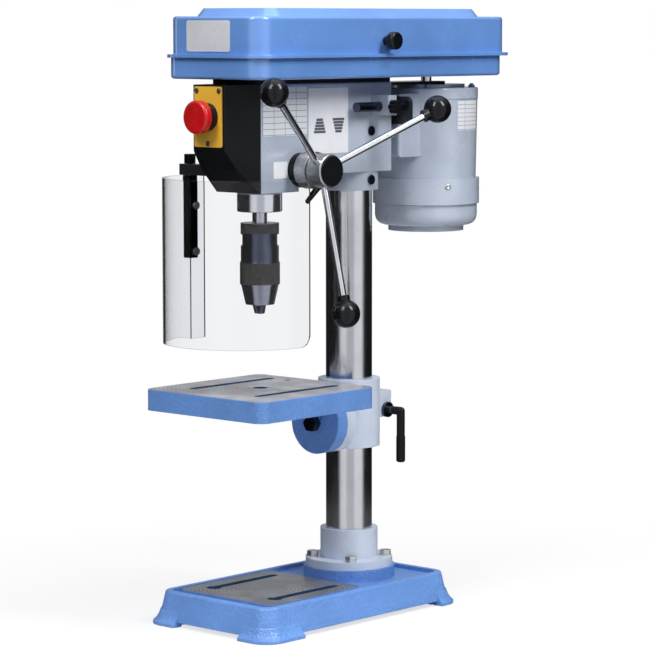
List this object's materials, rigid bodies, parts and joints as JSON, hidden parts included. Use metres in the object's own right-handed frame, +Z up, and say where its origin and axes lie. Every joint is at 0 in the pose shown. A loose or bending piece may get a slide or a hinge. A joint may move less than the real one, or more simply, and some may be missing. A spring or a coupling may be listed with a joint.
{
  "type": "bench drill press",
  "caption": "Bench drill press: cast base, round column, tilting slotted table, belt-driven spindle with keyless chuck, three-spoke feed, clear chip guard and stop button.",
  "frame": {"origin": "centre of the bounding box on the bench plane", "axes": "+Z up along the column, -Y towards the operator, +X the operator's right with the feed spokes"},
  "size_m": [0.2667, 0.5322, 0.772],
  "materials": {
    "blue_gloss": "smooth gloss blue enamel",
    "blue_wrinkle": "blue wrinkle enamel on cast iron",
    "machined_iron": "blue enamel sides, ground bare top",
    "grey_cast": "grey-blue enamel on cast iron",
    "light_grey": "light grey enamel on cast iron",
    "motor_grey": "grey-blue enamel",
    "polished_steel": "ground and polished steel",
    "chrome": "bright chrome plate",
    "black_steel": "blued black steel",
    "black_paint": "satin black enamel",
    "black_plastic": "moulded black plastic",
    "black_gloss": "polished black phenolic",
    "yellow_plate": "amber yellow plate",
    "red_button": "red moulded plastic",
    "rubber": "black rubber",
    "alloy": "die-cast alloy",
    "clear": "clear polycarbonate sheet",
    "zinc": "zinc-plated steel",
    "spring_steel": "blued spring steel"
  },
  "bodies": {
    "frame": {"base": "blue_wrinkle", "column_flange": "light_grey", "flange_bolts": "zinc", "head_casting": "grey_cast", "head_set_screws": "black_steel", "switch_housing": "black_plastic", "switch_plate": "yellow_plate", "stop_collar": "black_plastic", "tray_gasket": "rubber", "belt_tray": "blue_gloss", "tray_hinge_leaves": "zinc", "hinge_pins": "zinc", "pulley_bearings": "polished_steel", "drive_belt": "rubber", "feed_flange": "black_plastic", "return_spring": "spring_steel", "spring_cap": "black_paint", "guard_arm": "black_paint"},
    "column": {"column_tube": "polished_steel"},
    "table_bracket": {"table_bracket": "light_grey", "tilt_bolt": "zinc"},
    "table": {"table": "machined_iron"},
    "table_clamp": {"table_clamp_screw": "zinc", "table_clamp_lever": "black_plastic"},
    "stop_button": {"stop_button": "red_button"},
    "lid": {"belt_lid": "blue_gloss", "lid_knob": "black_gloss", "lid_hinge_leaves": "zinc"},
    "pulley": {"spindle_pulley": "alloy", "pulley_sleeve": "polished_steel"},
    "motor": {"motor_housing": "motor_grey", "motor_top_shield": "motor_grey", "motor_end_bell": "motor_grey", "motor_bottom_cover": "motor_grey", "terminal_box": "motor_grey", "motor_bracket": "black_paint", "tension_rods": "black_steel"},
    "rotor": {"motor_shaft": "polished_steel", "motor_pulley": "alloy"},
    "tension_knob": {"tension_knob": "black_plastic"},
    "quill": {"quill": "polished_steel", "quill_collar": "chrome", "quill_bearings": "polished_steel"},
    "spindle": {"spindle": "polished_steel", "chuck_body": "black_steel"},
    "chuck_sleeve": {"chuck_sleeve": "black_steel"},
    "chuck_jaw_1": {"chuck_jaw_1": "black_steel"},
    "chuck_jaw_2": {"chuck_jaw_2": "black_steel"},
    "chuck_jaw_3": {"chuck_jaw_3": "black_steel"},
    "feed": {"feed_shaft": "polished_steel", "feed_hub": "chrome", "feed_spokes": "chrome", "feed_knobs": "black_gloss", "feed_cap": "black_plastic"},
    "depth_ring": {"depth_ring": "alloy"},
    "quill_lock": {"quill_lock_lever": "black_plastic"},
    "guard": {"guard_post": "black_paint", "guard_shield": "clear", "guard_screws": "zinc", "guard_pivot_bolt": "black_steel"}
  },
  "joints": [
    {"name": "table_swivel", "type": "hinge", "parent": "frame", "child": "column", "pos_m": [-0.0141, 0.0286, 0.244], "axis": [0, 0, 1], "range_deg": [-180, 180]},
    {"name": "table_height", "type": "slide", "parent": "column", "child": "table_bracket", "axis": [0, 0, 1], "range_m": [-0.102, 0.05]},
    {"name": "table_tilt", "type": "hinge", "parent": "table_bracket", "child": "table", "pos_m": [-0.0141, -0.0181, 0.244], "axis": [0, 1, 0], "range_deg": [-45, 45]},
    {"name": "table_clamp_turn", "type": "hinge", "parent": "table_bracket", "child": "table_clamp", "pos_m": [-0.0141, 0.0771, 0.252], "axis": [1, 0, 0], "range_deg": [-90, 90]},
    {"name": "feed_turn", "type": "hinge", "parent": "frame", "child": "feed", "pos_m": [-0.0141, -0.1065, 0.5725], "axis": [1, 0, 0], "range_deg": [0, 360], "stiffness_Nm_per_rad": 0.15, "springref_deg": -171.89},
    {"name": "quill_slide", "type": "slide", "parent": "frame", "child": "quill", "axis": [0, 0, -1], "range_m": [0, 0.05656]},
    {"name": "spindle_spin", "type": "hinge", "parent": "quill", "child": "spindle", "pos_m": [-0.0141, -0.138, 0.5064], "axis": [0, 0, 1], "continuous": true},
    {"name": "pulley_spin", "type": "hinge", "parent": "frame", "child": "pulley", "pos_m": [-0.0141, -0.138, 0.692], "axis": [0, 0, 1], "continuous": true},
    {"name": "motor_slide", "type": "slide", "parent": "frame", "child": "motor", "axis": [0, 1, 0], "range_m": [-0.008, 0], "deforming": ["drive_belt"]},
    {"name": "motor_spin", "type": "hinge", "parent": "motor", "child": "rotor", "pos_m": [-0.0141, 0.1816, 0.674], "axis": [0, 0, 1], "continuous": true},
    {"name": "tension_knob_turn", "type": "hinge", "parent": "frame", "child": "tension_knob", "pos_m": [0.0532, 0.0366, 0.648], "axis": [1, 0, 0], "range_deg": [0, 180]},
    {"name": "sleeve_turn", "type": "hinge", "parent": "spindle", "child": "chuck_sleeve", "pos_m": [-0.0141, -0.138, 0.4576], "axis": [0, 0, 1], "range_deg": [0, 900]},
    {"name": "chuck_jaw_1_slide", "type": "slide", "parent": "spindle", "child": "chuck_jaw_1", "axis": [0, 0.2588, 0.9659], "range_m": [0, 0.015]},
    {"name": "chuck_jaw_2_slide", "type": "slide", "parent": "spindle", "child": "chuck_jaw_2", "axis": [-0.2241, -0.1294, 0.9659], "range_m": [0, 0.015]},
    {"name": "chuck_jaw_3_slide", "type": "slide", "parent": "spindle", "child": "chuck_jaw_3", "axis": [0.2241, -0.1294, 0.9659], "range_m": [0, 0.015]},
    {"name": "depth_ring_turn", "type": "hinge", "parent": "feed", "child": "depth_ring", "pos_m": [0.0362, -0.1065, 0.5725], "axis": [1, 0, 0], "range_deg": [-170, 170]},
    {"name": "lid_swing", "type": "hinge", "parent": "frame", "child": "lid", "pos_m": [-0.1057, 0.0286, 0.711], "axis": [0, -1, 0], "range_deg": [0, 100]},
    {"name": "guard_swing", "type": "hinge", "parent": "frame", "child": "guard", "pos_m": [-0.1201, -0.1544, 0.5627], "axis": [0, 0, 1], "range_deg": [-110, 0]},
    {"name": "stop_press", "type": "slide", "parent": "frame", "child": "stop_button", "axis": [0, 1, 0], "range_m": [0, 0.004], "stiffness_N_per_m": 800, "springref_m": -0.003},
    {"name": "quill_lock_turn", "type": "hinge", "parent": "frame", "child": "quill_lock", "pos_m": [0.0239, -0.0634, 0.561], "axis": [1, 0, 0], "range_deg": [0, 40]}
  ],
  "couplings": [
    {"joint": "quill_slide", "follows": "feed_turn", "m_per_rad": 0.009},
    {"joint": "pulley_spin", "follows": "spindle_spin", "ratio": 1},
    {"joint": "motor_spin", "follows": "spindle_spin", "ratio": 1},
    {"joint": "chuck_jaw_1_slide", "follows": "sleeve_turn", "m_per_rad": 0.00095483},
    {"joint": "chuck_jaw_2_slide", "follows": "sleeve_turn", "m_per_rad": 0.00095483},
    {"joint": "chuck_jaw_3_slide", "follows": "sleeve_turn", "m_per_rad": 0.00095483}
  ]
}
